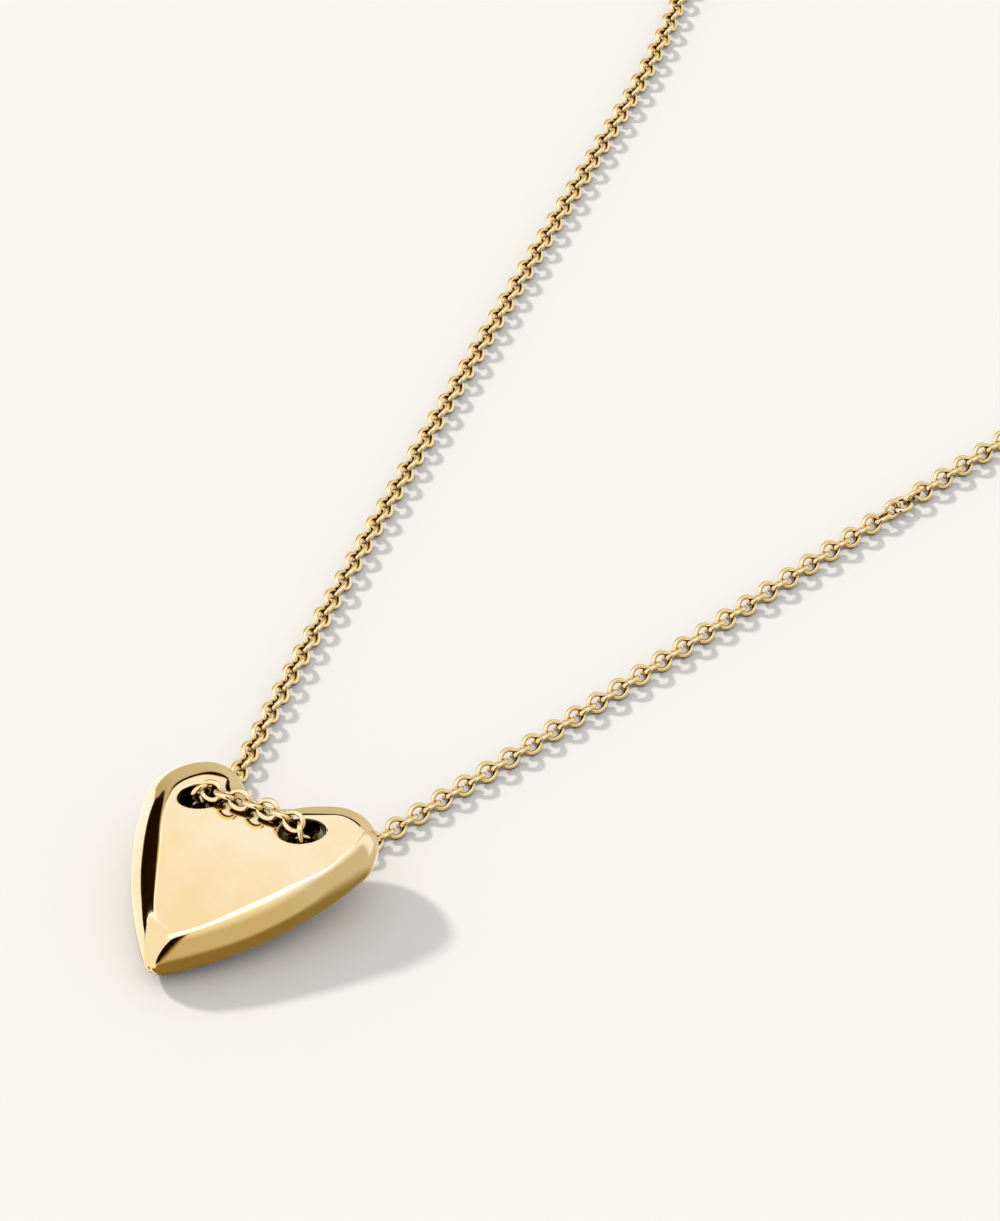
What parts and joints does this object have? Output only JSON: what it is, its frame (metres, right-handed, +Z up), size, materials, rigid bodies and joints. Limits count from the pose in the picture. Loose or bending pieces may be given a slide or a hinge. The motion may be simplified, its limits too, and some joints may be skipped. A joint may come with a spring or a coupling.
{
  "type": "heart pendant necklace",
  "caption": "Domed heart pendant with two slots through its lobes, threaded on a fine cable-chain necklace, lying flat as a closed loop.",
  "frame": {"origin": "centre of the whole loop's box, on the flat surface that it lies on", "axes": "+Z up off the surface, +Y from the heart's tip towards the clasp, +X to the right seen from above"},
  "size_m": [0.0824, 0.1756, 0.0073],
  "materials": {
    "heart_gold": "polished gold",
    "chain_gold": "polished gold"
  },
  "bodies": {
    "root": {"heart": "heart_gold", "chain_left": "chain_gold", "chain_right": "chain_gold", "clasp": "chain_gold"}
  },
  "joints": []
}
